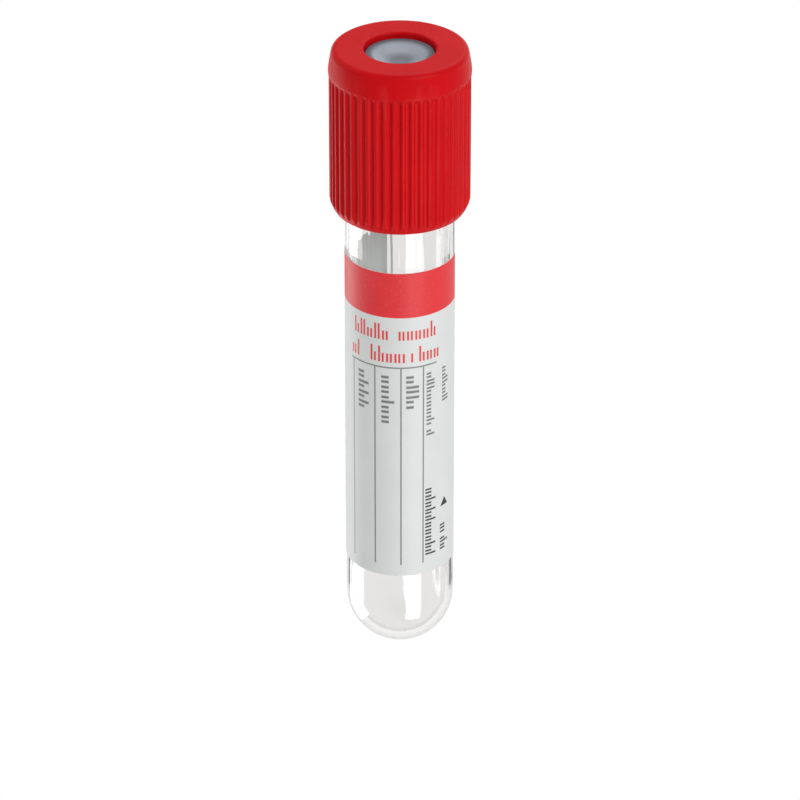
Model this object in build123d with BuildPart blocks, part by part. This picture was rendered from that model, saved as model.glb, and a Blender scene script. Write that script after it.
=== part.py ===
from build123d import *
import os
from math import cos, degrees, radians, sin

# Blood collection tube: a round-bottomed glass tube, a rubber stopper in its mouth, a ribbed
# plastic cap that snaps over the stopper's flange and reaches along the tube as a skirt, and
# a label wrapped part of the way round. Millimetres, +Z up, z = 0 is the surface.
#
# The round bottom can't stand and the whole would roll on its side, so it stands on the flat
# face of its cap with the closed end up. The origin is the middle of that face. Heights are
# measured up from it, turns anticlockwise about +Z from +X, and the front is the -Y side.

# ---- glass tube
tube_length = 75.0  # rim of the mouth to the tip of the closed end
tube_diameter = 13.0
tube_wall = 1.0
rim_bevel = 0.25  # on both edges of the rim

# ---- cap
skirt_clearance = 0.6  # between the skirt and the tube
cap_wall = 1.3  # skirt's bore to the smooth band
cap_height = 20.5
face_plate = 1.3  # thickness of the ring that holds the stopper in
face_edge = 0.6  # outer edge of the face, eased by two bevels
band_height = 2.8  # smooth band between the face and the ribs
rib_count = 48
rib_crest = 0.3  # width of a rib at its tip
rib_foot = 0.75  # width of a rib in the valley
rib_depth = 0.27
rib_inset = 0.08  # tip of a rib below the surface of the band
edge_wall = 0.6  # wall at the skirt's open edge, where the outside tapers in
edge_taper = 1.9  # height of that taper
lead_in = 0.25  # chamfer inside the skirt's open edge
port_diameter = 8.4  # hole that the needle goes in through
port_bevel = 0.3

# ---- how the cap holds the stopper
seat_clearance = 0.1  # round the stopper's flange
snap_clearance = 0.25  # between the snap bead and the tube
snap_land = 0.8  # straight part of the bead
snap_ramp = 0.7  # sloping side, which rides over the flange

# ---- rubber stopper
flange_overhang = 0.45  # flange beyond the outside of the tube
flange_thickness = 3.2
flange_bevel = 0.3
boss_height = 0.6  # how far the middle stands out into the port
boss_clearance = 0.1
dish_diameter = 7.0  # hollow that guides the needle to the middle
dish_depth = 1.0
plug_length = 9.0  # inside the tube
plug_clearance = 0.05  # sealing rings to the bore
ring_count = 3
ring_pitch = 2.0
ring_height = 0.3
ring_land = 0.3  # flat crest of a ring
ring_foot = 1.4  # width of a ring where it meets the plug
tip_taper = 0.9  # how much narrower the plug's tip is
tip_length = 1.6
plug_skin = 1.9  # rubber round the well, behind the rings
septum = 4.2  # rubber that the needle goes through
well_bevel = 0.8

# ---- label
label_thickness = 0.1
label_start = 12.0  # edge to the tip of the closed end
label_length = 41.3
label_width = 28.4  # round the tube
label_turn = -176.0  # turn of the side edge that it starts from

# ---- sizes that follow
tube_radius = tube_diameter / 2
bore_radius = tube_radius - tube_wall
skirt_radius = tube_radius + skirt_clearance
cap_radius = skirt_radius + cap_wall
rib_tip = cap_radius - rib_inset
valley_radius = rib_tip - rib_depth
port_radius = port_diameter / 2
flange_radius = tube_radius + flange_overhang
seat_radius = flange_radius + seat_clearance
snap_radius = tube_radius + snap_clearance
boss_radius = port_radius - boss_clearance
dish_radius = dish_diameter / 2
plug_radius = bore_radius - plug_clearance - ring_height
tip_radius = plug_radius - tip_taper
well_radius = plug_radius - plug_skin
label_wrap = degrees(label_width / (tube_radius + label_thickness))

rim = face_plate + flange_thickness  # height of the tube's mouth
closed_end = rim + tube_length
ball_centre = closed_end - tube_radius
boss_face = face_plate - boss_height
dish_floor = boss_face + dish_depth
well_floor = dish_floor + septum
plug_tip = rim + plug_length
label_middle = closed_end - label_start - label_length / 2


# ---- tube: one wall all over, the closed end a half ball
with BuildPart() as tube:
    with BuildSketch(Plane.XZ):
        with BuildLine():
            CenterArc((0, ball_centre), tube_radius, 0, 90)
            Line((0, closed_end), (0, closed_end - tube_wall))
            CenterArc((0, ball_centre), bore_radius, 90, -90)
            Polyline(
                (bore_radius, ball_centre),
                (bore_radius, rim),
                (tube_radius, rim),
                (tube_radius, ball_centre),
            )
        make_face()
    revolve(axis=Axis.Z)
    chamfer(tube.edges().group_by(Axis.Z)[0], rim_bevel)
tube.part.label = "tube"

# ---- stopper: a dished boss in the port, a flange under the rim, and a plug whose sealing
# rings fill the bore; the well in the plug leaves the septum between it and the dish
ring_section = [
    (-ring_height, -ring_foot / 2),
    (0, -ring_foot / 2),
    (ring_height, -ring_land / 2),
    (ring_height, ring_land / 2),
    (0, ring_foot / 2),
    (-ring_height, ring_foot / 2),
]
with BuildPart() as stopper:
    with BuildSketch(Plane.XZ):
        with BuildLine():
            TangentArc((0, dish_floor), (dish_radius, boss_face), tangent=(1, 0))
            Polyline(
                (dish_radius, boss_face),
                (boss_radius, boss_face),
                (boss_radius, face_plate),
                (flange_radius - flange_bevel, face_plate),
                (flange_radius, face_plate + flange_bevel),
                (flange_radius, rim),
                (plug_radius, rim),
                (plug_radius, plug_tip - tip_length),
                (tip_radius, plug_tip),
                (well_radius, plug_tip),
                (well_radius, well_floor + well_bevel),
                (well_radius - well_bevel, well_floor),
                (0, well_floor),
                (0, dish_floor),
            )
        make_face()
        with Locations([(plug_radius, rim + ring_pitch * (n + 0.7)) for n in range(ring_count)]):
            Polygon(*ring_section, align=None)
    revolve(axis=Axis.Z)
stopper.part.label = "stopper"

# ---- cap: a ribbed blank with a smooth band, trimmed inside and out by one turned profile
spare = 1.0  # blank beyond the trimmed surfaces
rib_root = 2 * rib_foot - rib_crest  # width where the flanks go on below the valley
rib_section = [
    (-rib_depth, -rib_root / 2),
    (rib_depth, -rib_crest / 2),
    (rib_depth, rib_crest / 2),
    (-rib_depth, rib_root / 2),
]
with BuildPart() as cap:
    with BuildSketch(Plane.XY.offset(band_height)):
        Circle(valley_radius)
        with PolarLocations(valley_radius, rib_count):
            Polygon(*rib_section, align=None)
    extrude(amount=cap_height - band_height + spare)
    with BuildSketch(Plane.XY.offset(-spare)):
        Circle(cap_radius + spare)
    extrude(amount=band_height + spare)
    with BuildSketch(Plane.XZ):
        with BuildLine():
            Polyline(
                (port_radius + port_bevel, 0),
                (cap_radius - face_edge, 0),
                (cap_radius - face_edge * 0.3, face_edge * 0.3),
                (cap_radius, face_edge),
                (cap_radius, cap_height - edge_taper),
                (skirt_radius + edge_wall, cap_height),
                (skirt_radius + lead_in, cap_height),
                (skirt_radius, cap_height - lead_in),
                (skirt_radius, rim + snap_land + snap_ramp),
                (snap_radius, rim + snap_land),
                (snap_radius, rim),
                (seat_radius, rim),
                (seat_radius, face_plate),
                (port_radius, face_plate),
                (port_radius, port_bevel),
                (port_radius + port_bevel, 0),
            )
        make_face()
    revolve(axis=Axis.Z, mode=Mode.INTERSECT)
cap.part.label = "cap"

# ---- label: a thin skin on the tube
outwards = Vector(cos(radians(label_turn)), sin(radians(label_turn)), 0)
with BuildPart() as label:
    with BuildSketch(Plane(origin=(0, 0, 0), x_dir=outwards, z_dir=outwards.cross(Vector(0, 0, 1)))):
        with Locations((tube_radius + label_thickness / 2, label_middle)):
            Rectangle(label_thickness, label_length)
    revolve(axis=Axis.Z, revolution_arc=label_wrap)
label.part.label = "label"

os.makedirs("parts", exist_ok=True)
export_step(tube.part, "parts/tube.step")
export_step(stopper.part, "parts/stopper.step")
export_step(cap.part, "parts/cap.step")
export_step(label.part, "parts/label.step")
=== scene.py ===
"""Looks of a blood collection tube: clear glass, a grey rubber stopper, a ribbed red cap and a
printed film label. Metres in Blender; the profiles below are in millimetres. It stands on the
face of its cap, so the cap's face is at height 0 and the closed end is on top."""

import math

import bmesh
import bpy
import numpy as np
from mathutils import Matrix, Vector


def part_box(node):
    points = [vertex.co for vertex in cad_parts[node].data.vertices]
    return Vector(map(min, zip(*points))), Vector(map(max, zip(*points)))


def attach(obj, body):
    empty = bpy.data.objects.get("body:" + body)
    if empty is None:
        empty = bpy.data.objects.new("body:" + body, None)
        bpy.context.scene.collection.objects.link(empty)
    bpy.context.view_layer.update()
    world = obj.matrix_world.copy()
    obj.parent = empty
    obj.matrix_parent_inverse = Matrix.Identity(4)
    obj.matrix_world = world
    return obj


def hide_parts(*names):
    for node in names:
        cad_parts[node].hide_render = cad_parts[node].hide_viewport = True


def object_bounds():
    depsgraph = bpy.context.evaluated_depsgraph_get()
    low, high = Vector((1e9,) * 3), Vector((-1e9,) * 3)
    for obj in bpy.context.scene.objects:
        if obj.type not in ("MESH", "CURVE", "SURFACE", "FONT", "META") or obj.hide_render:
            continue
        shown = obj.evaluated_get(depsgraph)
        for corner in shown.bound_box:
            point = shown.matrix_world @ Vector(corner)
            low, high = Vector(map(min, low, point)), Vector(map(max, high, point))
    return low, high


MM = 0.001
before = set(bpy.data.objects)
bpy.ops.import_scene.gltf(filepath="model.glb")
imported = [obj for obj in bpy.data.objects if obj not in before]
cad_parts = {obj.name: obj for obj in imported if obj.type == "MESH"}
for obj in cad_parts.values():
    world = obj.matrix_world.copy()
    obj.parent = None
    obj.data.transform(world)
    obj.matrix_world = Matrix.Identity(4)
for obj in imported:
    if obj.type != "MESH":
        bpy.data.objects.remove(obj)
cad_box = [list(corner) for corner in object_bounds()]


# ---------------------------------------------------------------- sizes read from the frame
def node_points(node):
    """Radius and height in millimetres of every vertex of a CAD node."""
    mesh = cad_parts[node].data
    co = np.empty(len(mesh.vertices) * 3)
    mesh.vertices.foreach_get("co", co)
    x, y, z = co.reshape(-1, 3).T / MM
    return np.hypot(x, y), z


def radii(node, low, high):
    """Smallest and largest radius of a node between two heights."""
    radius, height = node_points(node)
    inside = (height > low) & (height < high)
    return radius[inside].min(), radius[inside].max()


def heights(node, low, high):
    """Lowest and highest point of a node between two radii."""
    radius, height = node_points(node)
    inside = (radius > low) & (radius < high)
    return height[inside].min(), height[inside].max()


SLACK = 0.02
cap_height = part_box("cap")[1].z / MM
cap_radius = radii("cap", -1, cap_height)[1]
port_radius = radii("cap", 0.2, 0.5)[0]
band_height = heights("cap", cap_radius - SLACK, cap_radius + SLACK)[1]
edge_radius = radii("cap", cap_height - SLACK, cap_height + SLACK)[1]
skirt_radius = radii("cap", cap_height - 0.6, cap_height - 0.1)[0]
rim, closed_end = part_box("tube")[0].z / MM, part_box("tube")[1].z / MM
tube_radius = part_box("tube")[1].x / MM
bore_radius = radii("tube", rim + 0.5, closed_end - tube_radius + SLACK)[0]
boss_face, plug_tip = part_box("stopper")[0].z / MM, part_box("stopper")[1].z / MM
flange_radius = radii("stopper", rim - 1, rim + SLACK)[1]
face_plate = heights("stopper", flange_radius - 0.5, flange_radius)[0]
boss_radius = radii("stopper", boss_face - SLACK, boss_face + SLACK)[1]
label_low, label_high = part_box("label")[0].z / MM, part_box("label")[1].z / MM
label_radius = radii("label", label_low - 1, label_high + 1)[1]

# sizes of the cap
RIBS = 48
RIB_DEPTH = 0.27
RIB_INSET = 0.08  # crest of a rib below the surface of the band
CREST_HALF, FLANK = 0.10, 0.32  # round the cap: half a crest's width, and one flank's
RIB_RUNOUT = 0.8  # height in which the ribs come up beside the band
SHOULDER = 0.45  # how much narrower the smooth band gets towards the face
FACE_EDGE = 0.6  # rounding of the face's outer edge
EDGE_CURVE = 1.9  # height of the curve at the skirt's open edge
SEAT_GAP = 0.1  # round the stopper's flange
SNAP_HEIGHT = 0.8  # of the bead that holds the flange

# sizes of the stopper
DISH_RADIUS, DISH_DEPTH = 3.5, 1.0
SEPTUM = 4.2  # rubber between the dish and the well
WELL_RADIUS, WELL_FLOOR = 3.25, boss_face + DISH_DEPTH + SEPTUM
PLUG_INSET = 0.35  # plug to the bore between two rings
TIP_TAPER, TIP_LENGTH = 0.9, 1.6
RINGS, RING_FIRST = 3, 1.4  # how many rings, and the first one's height above the rim
RING_RISE, RING_HALF, RING_PITCH = 0.31, 0.7, 2.0

# sizes of the label
LABEL_TURNS = (-176.0, 70.53)  # side edges, anticlockwise from +X
LABEL_GAP = 0.006  # between its back and the glass


# ---------------------------------------------------------------- surfaces
def skin(name, points, closed=False, wraps=True):
    """Mesh through a grid of points: points[i, j] is step i of the profile at step j of the
    turn. The turn wraps round, the profile closes on itself if told, and a first or last row
    on the axis becomes one point with a fan round it. Its map runs with the two steps."""
    rows, turns = points.shape[:2]
    i, j = np.meshgrid(
        np.arange(rows if closed else rows - 1),
        np.arange(turns if wraps else turns - 1),
        indexing="ij",
    )
    i, j = i.ravel(), j.ravel()
    below, beside = (i + 1) % rows, (j + 1) % turns
    here, under = i * turns, below * turns
    quads = np.stack([here + j, here + beside, under + beside, under + j], 1)
    spread = np.linalg.norm(np.diff(points[:, 0], axis=0), axis=1)
    along = np.concatenate([[0], np.cumsum(spread)])
    along /= along[-1] + (spread.mean() if closed else 0)
    down = np.where(i + 1 == rows, 1.0, along[below])
    across = (j + 1) / (turns if wraps else turns - 1)
    start = j / (turns if wraps else turns - 1)
    uv = np.stack([start, along[i], across, along[i], across, down, start, down], 1)

    mesh = bpy.data.meshes.new(name)
    mesh.from_pydata((points.reshape(-1, 3) * MM).tolist(), [], quads.tolist())
    layer = mesh.uv_layers.new(name="OFBake")
    layer.data.foreach_set("uv", (uv * 0.98 + 0.01).ravel())  # clear of the map's border
    piece = bpy.data.objects.new(name, mesh)
    bpy.context.scene.collection.objects.link(piece)
    clean(mesh)
    return piece


def clean(mesh):
    """Merges the points that meet on the axis, turns every face outwards and shades smooth."""
    work = bmesh.new()
    work.from_mesh(mesh)
    bmesh.ops.remove_doubles(work, verts=work.verts, dist=1e-7)
    bmesh.ops.recalc_face_normals(work, faces=work.faces)
    work.to_mesh(mesh)
    work.free()
    mesh.shade_smooth()


def turned(profile, turns):
    """Profile of (radius, height) carried round the axis in even steps."""
    angle = np.linspace(0, 2 * math.pi, turns, endpoint=False)
    radius, height = profile[:, :1], profile[:, 1:]
    return np.stack(
        [radius * np.cos(angle), radius * np.sin(angle), height + 0 * angle], axis=2
    )


def rounded(corners, step=0.12):
    """Polyline through corners (radius, height, rounding). Each corner is a quadratic curve
    with the corner as its middle control point, which starts and ends its rounding away from
    it. A straight run gets a point near each of its ends, which keeps its shading flat."""
    at = np.array([corner[:2] for corner in corners], float)
    path = [at[:1]]
    for k in range(1, len(corners) - 1):
        size = corners[k][2]
        back, on = at[k - 1] - at[k], at[k + 1] - at[k]
        back, on = back / np.linalg.norm(back), on / np.linalg.norm(on)
        begin, end = at[k] + back * size, at[k] + on * size
        t = np.linspace(0, 1, 9 if size > 0.15 else 5)[:, None]
        curve = (1 - t) ** 2 * begin + 2 * t * (1 - t) * at[k] + t**2 * end
        path += [begin[None] + back * step * 0.3, curve, end[None] + on * step * 0.3]
    path.append(at[-1:])
    return np.concatenate(path)


def filled(path, step):
    """The same line with more points, so that no run is longer than the step."""
    lengths = np.linalg.norm(np.diff(path, axis=0), axis=1)
    pieces = [
        np.linspace(a, b, max(1, math.ceil(length / step)), endpoint=False)
        for a, b, length in zip(path[:-1], path[1:], lengths)
        if length > 1e-6
    ]
    return np.concatenate([*pieces, path[-1:]])


# ---------------------------------------------------------------- finishes
class Reading:
    """One output of a shader node. Sums on readings are written as plain expressions."""

    def __init__(self, finish, node, output=0):
        self.finish, self.node, self.socket = finish, node, node.outputs[output]

    def other(self, output):
        """Another output of the same node."""
        return Reading(self.finish, self.node, output)

    def maths(self, operation, *others, clamp=False):
        settings = {"operation": operation, "use_clamp": clamp}
        return self.finish.add("ShaderNodeMath", settings, dict(enumerate((self, *others))))

    def __add__(self, other):
        return self.maths("ADD", other)

    def __sub__(self, other):
        return self.maths("SUBTRACT", other)

    def __rsub__(self, other):
        return self.finish.add("ShaderNodeMath", {"operation": "SUBTRACT"}, {0: other, 1: self})

    def __mul__(self, other):
        return self.maths("MULTIPLY", other)

    def __truediv__(self, other):
        return self.maths("DIVIDE", other)

    def __gt__(self, other):
        return self.maths("GREATER_THAN", other)

    def __abs__(self):
        return self.maths("ABSOLUTE")

    __radd__, __rmul__ = __add__, __mul__

    def floor(self):
        return self.maths("FLOOR")

    def limited(self):
        return self.maths("ADD", 0.0, clamp=True)

    def between(self, low, high, soft):
        """1 from low to high and 0 outside, with soft edges."""
        rising = self.maths("MULTIPLY_ADD", 1 / soft, 0.5 - low / soft, clamp=True)
        falling = self.maths("MULTIPLY_ADD", -1 / soft, 0.5 + high / soft, clamp=True)
        return rising * falling


class Finish:
    """A material put together node by node."""

    def __init__(self, name):
        self.material = bpy.data.materials.new(name)
        self.material.use_nodes = True
        self.tree = self.material.node_tree
        self.tree.nodes.clear()

    def add(self, kind, settings=None, sockets=None):
        """A node with its settings, a ramp's stops among them, and its sockets' values."""
        node = self.tree.nodes.new(kind)
        for key, value in (settings or {}).items():
            if key == "stops":
                while len(node.color_ramp.elements) < len(value):
                    node.color_ramp.elements.new(0.5)
                for element, (place, colour) in zip(node.color_ramp.elements, value):
                    element.position, element.color = place, (*colour, 1)
            else:
                setattr(node, key, value)
        for key, value in (sockets or {}).items():
            if isinstance(value, Reading):
                self.tree.links.new(value.socket, node.inputs[key])
            else:
                node.inputs[key].default_value = value
        return Reading(self, node)

    def mix(self, share, first, second):
        """Colour between two colours."""
        node = self.tree.nodes.new("ShaderNodeMix")
        node.data_type = "RGBA"
        for key, value in ((0, share), (6, first), (7, second)):
            if isinstance(value, Reading):
                self.tree.links.new(value.socket, node.inputs[key])
            else:
                node.inputs[key].default_value = value if key == 0 else (*value, 1)
        return Reading(self, node, 2)

    def place(self):
        return self.add("ShaderNodeTexCoord").other("Object")

    def noise(self, place, scale, detail=2.0, stretch=(1, 1, 1)):
        """Noise from 0 to 1, scale patches to the metre, stretched along the axes."""
        if stretch != (1, 1, 1):
            place = self.add("ShaderNodeMapping", {}, {"Vector": place, "Scale": stretch})
        sockets = {"Vector": place, "Scale": scale, "Detail": detail}
        return self.add("ShaderNodeTexNoise", {}, sockets)

    def bump(self, height, depth, strength):
        return self.add(
            "ShaderNodeBump", {}, {"Height": height, "Distance": depth, "Strength": strength}
        )

    def radius(self, place):
        """Distance from the part's axis in millimetres."""
        x = self.add("ShaderNodeSeparateXYZ", {}, {0: place})
        y = x.other("Y")
        return (x * x + y * y).maths("SQRT") / MM

    def height(self, place):
        """Height above the cap's face in millimetres."""
        return self.add("ShaderNodeSeparateXYZ", {}, {0: place}).other("Z") / MM

    def show(self, shader):
        out = self.tree.nodes.new("ShaderNodeOutputMaterial")
        self.tree.links.new(shader.socket, out.inputs["Surface"])
        return self.material

    def solid(self, **sockets):
        """Principled shader, its sockets named with underscores for spaces."""
        names = {name.replace("_", " "): value for name, value in sockets.items()}
        return self.add("ShaderNodeBsdfPrincipled", {}, names)


def cap_plastic():
    """Injection-moulded red plastic: a soft gloss with a fine orange-peel skin, faint flow
    clouds, and paler scuffs on the crests of the ribs and on the band."""
    f = Finish("cap_plastic")
    place = f.place()
    radius = f.radius(place)
    clouds = f.noise(place, 160, 3)
    scratches = f.noise(place, 900, 3, (1, 1, 0.12))
    crest = radius.between(cap_radius - RIB_INSET - 0.1, cap_radius + 1, 0.1)
    scuff = crest * scratches.between(0.56, 2, 0.2) * (clouds * 0.7)
    red = f.mix(clouds, (0.47, 0.0015, 0.004), (0.57, 0.003, 0.006))
    colour = f.mix(scuff * 0.18, red, (0.72, 0.10, 0.10))
    skin_height = f.noise(place, 5200, 2) * 0.5 + clouds * 0.8
    return f.show(
        f.solid(
            Base_Color=colour,
            Roughness=0.34 + clouds * 0.10 + scuff * 0.25,
            Normal=f.bump(skin_height, 0.00002, 0.25),
            IOR=1.49,
            Specular_IOR_Level=0.08,
        )
    )


def stopper_rubber():
    """Moulded grey-blue rubber: dull, mottled, with a pale bloom of powder. The dish has painted
    shade in its middle, and a painted shadow of the port's wall on the ring round it."""
    f = Finish("stopper_rubber")
    place = f.place()
    mottle = f.noise(place, 700, 4)
    specks = f.noise(place, 6500, 2)
    bloom = f.noise(place, 260, 3).between(0.5, 2, 0.3)
    grey = f.mix(mottle, (0.235, 0.262, 0.305), (0.315, 0.345, 0.395))
    grey = f.mix(bloom * 0.3 + specks.between(0.66, 2, 0.05) * 0.25, grey, (0.42, 0.45, 0.50))
    radius, height = f.radius(place), f.height(place)
    # painted shadow: a dark ring round the dish, where the port's wall shades the rubber
    ring = radius.between(DISH_RADIUS - 0.25, boss_radius + 0.5, 0.5) * (1.5 - height).limited()
    # painted shade: the middle of the dish is made darker, for the shading of the shallow bowl
    painted_dish_shade = radius.between(-2, 1.5, 1.1) * (2.5 - height).limited()
    colour = f.mix(painted_dish_shade * 0.9, grey, (0.11, 0.12, 0.14))
    colour = f.mix(ring * 0.95, colour, (0.05, 0.055, 0.07))
    return f.show(
        f.solid(
            Base_Color=colour,
            Roughness=0.62 + bloom * 0.2,
            Normal=f.bump(mottle * 0.6 + specks * 0.4, 0.00005, 0.5),
            IOR=1.5,
        )
    )


def clear_glass():
    """Drawn glass: clear, with a painted dark reflection where the wall is seen edge on, long
    faint waves from the draw that stop short of the round end, and a few smudges. Light goes
    straight through it to what is inside and behind."""
    f = Finish("clear_glass")
    place = f.place()
    straight = ((closed_end - tube_radius - f.height(place)) / 6.0).limited()
    waves = f.noise(place, 560, 2, (1, 1, 0.05)) * straight
    smudge = f.noise(place, 140, 4).between(0.58, 2, 0.2)
    # painted reflection: the colour darkens where the wall is seen edge on, for darker
    # surroundings reflected at grazing angles
    edge = f.add("ShaderNodeLayerWeight", {}, {"Blend": 0.5}).other("Facing")
    edge = ((edge - 0.55) / 0.45).limited()
    colour = f.mix(edge * 0.85, (0.885, 0.875, 0.868), (0.16, 0.175, 0.17))
    glass = f.solid(
        Base_Color=colour,
        Roughness=smudge * 0.02,
        Normal=f.bump(waves, 0.0003, 0.8),
        IOR=1.5,
        Transmission_Weight=1.0,
    )
    gap = f.add("ShaderNodeBsdfTransparent", {}, {"Color": (0.97, 0.985, 0.98, 1)})
    ray = f.add("ShaderNodeLightPath").other("Is Shadow Ray")
    straight_on = ray.maths("MAXIMUM", ray.other("Is Diffuse Ray"))
    return f.show(f.add("ShaderNodeMixShader", {}, {0: straight_on, 1: glass, 2: gap}))


def strokes(f, rise, along, start, end, height, pitch, seed):
    """Mock print that stands for no text: pairs of upright strokes of chance heights. They
    stand on a base line half the height below the middle, from where rise counts, and run
    along it from start to end."""
    cell = (along - start) / pitch
    index = cell.floor()
    part = cell - index
    number = f.add("ShaderNodeCombineXYZ", {}, {0: index, 1: seed})
    dice = f.add("ShaderNodeTexWhiteNoise", {"noise_dimensions": "2D"}, {"Vector": number})
    first = f.add("ShaderNodeSeparateColor", {}, {0: dice.other("Color")})
    second = first.other("Green")
    level = rise / height
    standing = level > -0.5
    left = part.between(0.10, 0.36, 0.12) * (0.08 + 0.42 * (first > 0.62) > level)
    right = part.between(0.56, 0.82, 0.12) * (0.08 + 0.42 * (second > 0.78) > level)
    ends = (along > start) * (end - along > 0.0)
    return (left + right * (second > 0.15)) * standing * ends


# Places of the print in millimetres: u round the tube from the text's middle, v along the
# tube from the label's edge at the cap.
BAND_END = 5.9  # v where the red band ends
ROW_SPLIT, ROW_MIDDLE, ROW_STEP = 9.25, 7.85, 3.0  # v of the red rows
ROW_START, ROW_END, ROW_HEIGHT = -5.7, 5.3, 2.1
RULES = (-5.88, -2.53, 0.69, 3.46)  # u of the lines between the table's columns
TABLE_TOP, TABLE_END, TABLE_SIDES = (12.5, 12.7), 39.8, (-6.3, 5.3)
FIGURES_SPLIT, FIGURES_MIDDLE, FIGURES_STEP = 5.6, 4.5, 2.25  # u of the two rows of figures
FIGURES_START, FIGURES_LATER, FIGURES_END = 29.5, 5.7, 39.0  # v, and how much later the second
TRIANGLE_MIDDLE, TRIANGLE = 6.75, (31.6, 32.8)  # its u, and v from its tip to its base
PITCH = 0.85  # a pair of strokes to the height of the print
OFF_PRINT = 500.0  # how far the back and the edges lie from the print, along v

# columns of mock print: where each begins round the tube, its middle, its start along the
# tube, its height and how many pairs of strokes it has
COLUMNS = (
    (-20.0, -10.4, 21.0, 0.7, 17),
    (-9.85, -9.3, 21.0, 0.7, 23),
    (-6.2, -4.2, 13.6, 1.6, 4),
    (-2.53, -0.9, 13.6, 1.6, 5),
    (0.69, 2.1, 13.6, 1.6, 4),
    (3.46, 4.45, 13.6, 1.15, 9),
    (5.6, 6.85, 13.6, 1.15, 5),
)


def label_film():
    """White film label, printed: a red band at the cap's end, two rows of red mock text, a
    ruled table with mock text between its lines, a small triangle and black figures, all as
    plain strokes. The row or column that a point is in shifts the one reading of strokes."""
    f = Finish("label_film")
    u = f.add("ShaderNodeUVMap", {"uv_map": "print"})
    u = f.add("ShaderNodeSeparateXYZ", {}, {0: u})
    v = u.other("Y")
    soft = 0.04

    row = v > ROW_SPLIT
    rise = ROW_MIDDLE - v + row * ROW_STEP
    red_text = strokes(f, rise, u + row * 0.5, ROW_START, ROW_END + row, ROW_HEIGHT, 1.0, row)
    red_text = red_text * (abs(u + 0.2 + row * 3.5) > 0.5)  # the space between two words
    red_ink = v.between(-1, BAND_END, soft).maths("MAXIMUM", red_text)

    table = v.between(*TABLE_TOP, soft) * u.between(*TABLE_SIDES, soft)
    nearest = abs(u - RULES[0])
    for rule in RULES[1:]:
        nearest = nearest.maths("MINIMUM", abs(u - rule))
    lines = (0.5 + (0.09 - nearest) / soft).limited() * v.between(12.6, TABLE_END, soft)
    table = table.maths("MAXIMUM", lines)

    values = [
        (middle, start, start + height * PITCH * pairs, height)
        for _, middle, start, height, pairs in COLUMNS
    ]
    middle, start, end, height = values[0]
    for (begin, *_), last, column in zip(COLUMNS[1:], values[:-1], values[1:]):
        past = u > begin
        middle = past.maths("MULTIPLY_ADD", column[0] - last[0], middle)
        start = past.maths("MULTIPLY_ADD", column[1] - last[1], start)
        end = past.maths("MULTIPLY_ADD", column[2] - last[2], end)
        height = past.maths("MULTIPLY_ADD", column[3] - last[3], height)
    words = strokes(f, u - middle, v, start, end, height, height * PITCH, middle)
    grey_ink = (table * 0.8).maths("MAXIMUM", words * 0.9)

    second = u > FIGURES_SPLIT
    rise = u - FIGURES_MIDDLE - second * FIGURES_STEP
    start = FIGURES_START + second * FIGURES_LATER
    figures = strokes(f, rise, v, start, FIGURES_END, 1.5, 0.95, second + 7.0)
    half = (v - TRIANGLE[0]) * 0.6  # half its width, which grows with v
    triangle = ((half - abs(u - TRIANGLE_MIDDLE)) / soft).limited()
    triangle = triangle * v.between(*TRIANGLE, soft)
    black_ink = figures.maths("MAXIMUM", triangle)

    place = f.place()
    paper = f.noise(place, 300, 3)
    fibres = f.noise(place, 4200, 2)
    film = f.mix(paper, (0.58, 0.60, 0.59), (0.64, 0.66, 0.645))
    # painted light: the film's back and edges are paler than its front, for light that shines
    # through the thin film
    film = f.mix(v > OFF_PRINT - 100, film, (0.92, 0.93, 0.92))  # its back and edges
    worn = 1 - fibres.between(0.68, 2, 0.12) * 0.07
    red = f.mix(paper, (0.60, 0.020, 0.025), (0.68, 0.028, 0.034))
    colour = f.mix(red_ink * worn, film, red)
    colour = f.mix(grey_ink * worn, colour, (0.085, 0.10, 0.105))
    colour = f.mix(black_ink * worn, colour, (0.02, 0.02, 0.022))
    return f.show(
        f.solid(
            Base_Color=colour,
            Roughness=0.42 + paper * 0.1,
            Normal=f.bump(paper * 0.7 + fibres * 0.2, 0.00003, 0.35),
            IOR=1.48,
            Specular_IOR_Level=0.35,
        )
    )


# ---------------------------------------------------------------- camera
low, high = (Vector(corner) for corner in cad_box)
middle = (low + high) / 2


def look_up(below, side, distance, aim):
    """Camera below the floor, below and side being the angles it looks from. The picture's up
    is the part's down, so the cap is on top."""
    data = bpy.data.cameras.new("camera")
    data.lens, data.sensor_width = 224, 36
    data.clip_start, data.clip_end = 0.01, 20
    camera = bpy.data.objects.new("camera", data)
    bpy.context.scene.collection.objects.link(camera)
    bpy.context.scene.camera = camera
    front = Vector((math.sin(side), -math.cos(side), 0))
    out = front * math.cos(below) - Vector((0, 0, math.sin(below)))
    right = -Vector((math.cos(side), math.sin(side), 0))
    turned_to = Matrix((right, out.cross(right), out)).transposed().to_4x4()
    camera.matrix_world = Matrix.Translation(aim + out * distance) @ turned_to


look_up(
    below=math.radians(29),
    side=math.radians(-5),
    distance=0.6,
    aim=middle + Vector((0, 0, 0.007)),  # leaves room for the tube when it is pulled out
)


# ---------------------------------------------------------------- pieces
def shoulder(height):
    """How far the band lies inside its full radius: most at the face and nothing where the
    ribs start, by a power of the height that is left."""
    return SHOULDER * np.clip(1 - height / (band_height - 0.1), 0, 1) ** 1.3


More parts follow.
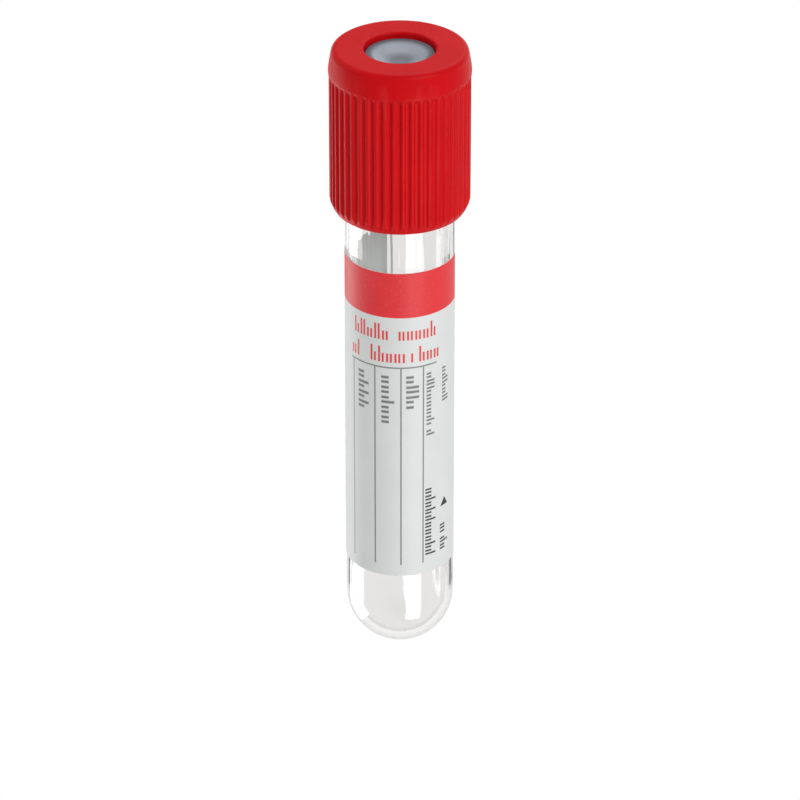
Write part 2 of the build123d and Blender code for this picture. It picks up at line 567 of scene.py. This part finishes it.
def make_cap():
    """Shell of the cap. Its profile runs from the port up the outside, over the open edge and
    back through the bore. Outside, the radius at a turn is the band's less a step to the ribs,
    less the rib's own depth where the turn is between two ribs, and no more than the curve
    that closes the open edge in."""
    edge_start = cap_height - EDGE_CURVE
    outside_heights = np.concatenate(  # closer together where the outside curves
        [
            np.linspace(0.75, band_height - 0.12, 5),
            np.linspace(band_height - 0.06, band_height + 0.9, 14),
            np.linspace(band_height + 1.2, edge_start, 9),
            np.linspace(edge_start + 0.12, cap_height - 0.16, 14),
        ]
    )
    closing = np.clip((outside_heights - edge_start) / EDGE_CURVE, 0, 1)
    edge = cap_radius - (cap_radius - edge_radius) * closing**1.7 - shoulder(outside_heights)
    face = rounded(
        [
            (port_radius, face_plate, 0.05),
            (port_radius, 0, 0.3),
            (cap_radius, 0, FACE_EDGE),
            (cap_radius, 2, 0),
        ]
    )[:-1]
    face[:, 0] -= np.where(face[:, 0] > cap_radius - 1, shoulder(face[:, 1]), 0)
    outside = np.stack([edge, outside_heights], 1)
    snap = radii("cap", rim + SNAP_HEIGHT - 0.1, rim + SNAP_HEIGHT + 0.1)[0]
    seat = flange_radius + SEAT_GAP
    inside = rounded(
        [
            (edge[-1], cap_height - 0.16, 0),
            (edge_radius - 0.02, cap_height, 0.14),
            (skirt_radius + 0.2, cap_height, 0.1),
            (skirt_radius, cap_height - 0.3, 0.12),
            (skirt_radius, rim + 1.5, 0.2),
            (snap, rim + SNAP_HEIGHT, 0.2),
            (snap, rim, 0.12),
            (seat, rim, 0.1),
            (seat, face_plate, 0.1),
            (port_radius, face_plate, 0.05),
            (port_radius, 0.6, 0),
        ]
    )[1:-1]
    profile = np.concatenate([face[1:], outside, filled(inside, 3.0)])

    angle = np.linspace(0, 2 * math.pi, RIBS * 12, endpoint=False)
    rib_angle = 2 * math.pi / RIBS
    off_crest = np.abs((angle / rib_angle + 0.5) % 1 - 0.5) * rib_angle * cap_radius
    flank = np.clip((off_crest - CREST_HALF) / FLANK, 0, 1)
    depth = RIB_INSET + RIB_DEPTH * (0.5 - 0.5 * np.cos(math.pi * flank))
    step = np.clip((profile[:, 1] - band_height) / RIB_RUNOUT, 0, 1)
    step = (step * step * (3 - 2 * step))[:, None]
    first = len(face) - 1
    radius = np.repeat(profile[:, :1], len(angle), axis=1)
    ribbed = (cap_radius - depth * step)[first : first + len(outside)]
    radius[first : first + len(outside)] = np.minimum(ribbed, outside[:, :1])
    points = np.stack(
        [radius * np.cos(angle), radius * np.sin(angle), profile[:, 1:] + 0 * angle], axis=2
    )
    return skin("cap_shell", points, closed=True)


def make_stopper():
    """Rubber stopper: the dish is a shallow bowl, the boss and flange have small roundings, and
    the plug's radius swells by a squared cosine at each sealing ring."""
    share = np.linspace(0, 1, 14)
    bowl = np.stack([share * DISH_RADIUS, boss_face + DISH_DEPTH * (1 - share**2.2)], 1)
    plug_radius, tip_start = bore_radius - PLUG_INSET, plug_tip - TIP_LENGTH
    head = rounded(
        [
            (DISH_RADIUS - 0.2, boss_face + 0.06, 0),
            (DISH_RADIUS, boss_face, 0.12),
            (boss_radius, boss_face, 0.15),
            (boss_radius, face_plate, 0.05),
            (flange_radius, face_plate, 0.35),
            (flange_radius, rim, 0.12),
            (plug_radius, rim, 0.15),
            (plug_radius, rim + 1, 0),
        ]
    )[1:-1]
    plug_heights = np.linspace(rim + 0.35, tip_start, 90)
    rings = rim + RING_FIRST + RING_PITCH * np.arange(RINGS)
    off_ring = np.abs(plug_heights[:, None] - rings).min(1) / RING_HALF
    swell = np.cos(np.clip(off_ring, 0, 1) * math.pi / 2) ** 2
    plug = np.stack([plug_radius + RING_RISE * swell, plug_heights], 1)
    tail = rounded(
        [
            (plug_radius, tip_start, 0),
            (plug_radius - TIP_TAPER, plug_tip, 0.3),
            (WELL_RADIUS, plug_tip, 0.25),
            (WELL_RADIUS, WELL_FLOOR, 0.8),
            (0, WELL_FLOOR, 0),
        ]
    )[1:]
    profile = np.concatenate([bowl[:-2], head, plug, tail])
    return skin("rubber_stopper", turned(filled(profile, 0.8), 144))


def make_tube():
    """Glass wall: a half ball, the straight wall, a fire-rounded rim and the same again inside."""
    centre = closed_end - tube_radius
    lift = 0.01  # the rim just clears the rubber
    ball = np.linspace(0, math.pi / 2, 40)[:, None]
    arc = np.concatenate([np.sin(ball), np.cos(ball)], 1)
    outer, inner = arc * tube_radius + (0, centre), arc * bore_radius + (0, centre)
    mouth = rounded(
        [
            (tube_radius, centre - 1, 0),
            (tube_radius, rim + lift, 0.45),
            (bore_radius, rim + lift, 0.45),
            (bore_radius, centre - 1, 0),
        ]
    )
    profile = np.concatenate([outer, filled(mouth, 6.0), inner[::-1]])
    return skin("glass_tube", turned(profile, 192))


def make_label():
    """Film bent round the tube between its two side edges. Radius and height run round a thin
    rectangle with eased corners, made of one quarter and its three reflections, and the turn
    goes from edge to edge. The side edges close on the film's middle surface."""
    inner, outer = tube_radius + LABEL_GAP, label_radius
    centre, halfway = (inner + outer) / 2, (label_low + label_high) / 2
    quarter = rounded(
        [(outer, halfway, 0), (outer, label_high, 0.03), (centre, label_high, 0)], 0.03
    )
    quarter = np.delete(quarter, -2, axis=0)  # a point that makes slivers at the side edges
    inwards = (2 * centre, 0) + quarter * (-1, 1)
    far = (2 * centre, 2 * halfway) - quarter
    downwards = (0, 2 * halfway) + quarter * (1, -1)
    section = np.concatenate([quarter[:-1], inwards[:0:-1], far[:-1], downwards[:0:-1]])
    turns = np.radians(np.linspace(*LABEL_TURNS, 150))
    radius = np.repeat(section[:, :1], len(turns) + 2, axis=1)
    radius[:, (0, -1)] = centre
    turns = np.concatenate([turns[:1], turns, turns[-1:]])
    points = np.stack(
        [radius * np.cos(turns), radius * np.sin(turns), section[:, 1:] + 0 * turns], axis=2
    )
    piece = skin("film_label", points, closed=True, wraps=False)
    map_print(piece.data, outer)
    return piece


def map_print(mesh, outer):
    """Map of the label's print in millimetres: u is the way round from the front, v the way
    along from the cap's end. The back and the edges of the film lie far off the print."""
    co = np.empty(len(mesh.vertices) * 3)
    mesh.vertices.foreach_get("co", co)
    x, y, z = co.reshape(-1, 3).T / MM
    turn = np.degrees(np.arctan2(y, x))
    turn = np.where(turn > 90, turn - 360, turn)  # -176 comes round as +184
    around = np.radians(-90 - turn) * outer
    corner = np.empty(len(mesh.loops), int)
    mesh.loops.foreach_get("vertex_index", corner)
    first, corners = np.empty(len(mesh.polygons), int), np.empty(len(mesh.polygons), int)
    mesh.polygons.foreach_get("loop_start", first)
    mesh.polygons.foreach_get("loop_total", corners)
    radius = np.add.reduceat(np.hypot(x, y)[corner], first) / corners
    shift = np.repeat(np.where(radius < outer - 0.02, OFF_PRINT, 0.0), corners)
    layer = mesh.uv_layers.new(name="print")
    uv = np.stack([around[corner], z[corner] - label_low + shift], 1)
    layer.data.foreach_set("uv", uv.ravel())


for make, node, body, slot, finish in (
    (make_cap, "cap", "closure", "cap_plastic", cap_plastic),
    (make_stopper, "stopper", "closure", "rubber", stopper_rubber),
    (make_tube, "tube", "vial", "glass", clear_glass),
    (make_label, "label", "vial", "label_film", label_film),
):
    piece = make()
    piece.data.materials.append(finish())
    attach(piece, body)
    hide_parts(node)


# ---------------------------------------------------------------- floor, lamps and world
def make_floor():
    """Pale disc, just under the part, that fades into the white round it. Seen from below it
    isn't there, and it darkens nothing that the lamps below it light."""
    bpy.ops.mesh.primitive_circle_add(
        vertices=64, radius=3, fill_type="NGON", location=(0, 0, -0.00002)
    )
    floor = bpy.context.object
    floor.name = "floor"
    f = Finish("floor")
    far = ((f.radius(f.place()) - 60) / 220).limited()
    pale = f.add("ShaderNodeBsdfDiffuse", {}, {"Color": (0.9, 0.9, 0.9, 1)})
    white = f.add("ShaderNodeEmission", {}, {"Color": (1, 1, 1, 1), "Strength": 1.0})
    shown = f.add("ShaderNodeMixShader", {}, {0: far, 1: pale, 2: white})
    none = f.add("ShaderNodeBsdfTransparent")
    below = f.add("ShaderNodeNewGeometry").other("Backfacing")
    sheet = f.add("ShaderNodeMixShader", {}, {0: below, 1: shown, 2: none})
    floor.data.materials.append(f.show(sheet))
    floor.visible_diffuse = False
    floor.visible_shadow = False


make_floor()


def lamp(name, place, size, watts):
    """Square area lamp, at a place from the middle of the part, that points at that middle."""
    data = bpy.data.lights.new(name, "AREA")
    data.size, data.energy = size, watts
    light = bpy.data.objects.new(name, data)
    light.location = middle + Vector(place)
    light.rotation_mode = "QUATERNION"
    light.rotation_quaternion = (-Vector(place)).to_track_quat("-Z", "Y")
    bpy.context.scene.collection.objects.link(light)


lamp("key", (-0.5, -0.7, 0.6), 0.5, 4.0)
lamp("fill", (0.7, 0.3, 0.5), 0.6, 3.0)
lamp("key_below", (-0.55, -0.55, -0.6), 0.5, 4.4)
lamp("fill_below", (0.7, 0.2, -0.5), 0.6, 1.5)
lamp("back_below", (-0.12, 0.75, -0.5), 0.7, 4.0)


def make_world(strength):
    """White all round: it lights the part at the strength given, and the camera, reflections
    and glass see it at full white."""
    world = bpy.data.worlds.new("studio")
    bpy.context.scene.world = world
    world.use_nodes = True
    nodes, links = world.node_tree.nodes, world.node_tree.links
    nodes.clear()
    path = nodes.new("ShaderNodeLightPath")
    seen = path.outputs["Is Camera Ray"]
    for ray in ("Is Glossy Ray", "Is Transmission Ray"):
        either = nodes.new("ShaderNodeMath")
        either.operation = "MAXIMUM"
        links.new(seen, either.inputs[0])
        links.new(path.outputs[ray], either.inputs[1])
        seen = either.outputs[0]
    pick = nodes.new("ShaderNodeMixShader")
    links.new(seen, pick.inputs[0])
    for socket, value in ((1, strength), (2, 1.0)):
        white = nodes.new("ShaderNodeBackground")
        white.inputs["Color"].default_value = (1, 1, 1, 1)
        white.inputs["Strength"].default_value = value
        links.new(white.outputs[0], pick.inputs[socket])
    out = nodes.new("ShaderNodeOutputWorld")
    links.new(pick.outputs[0], out.inputs["Surface"])


make_world(0.58)
bpy.context.scene.view_settings.view_transform = "Standard"
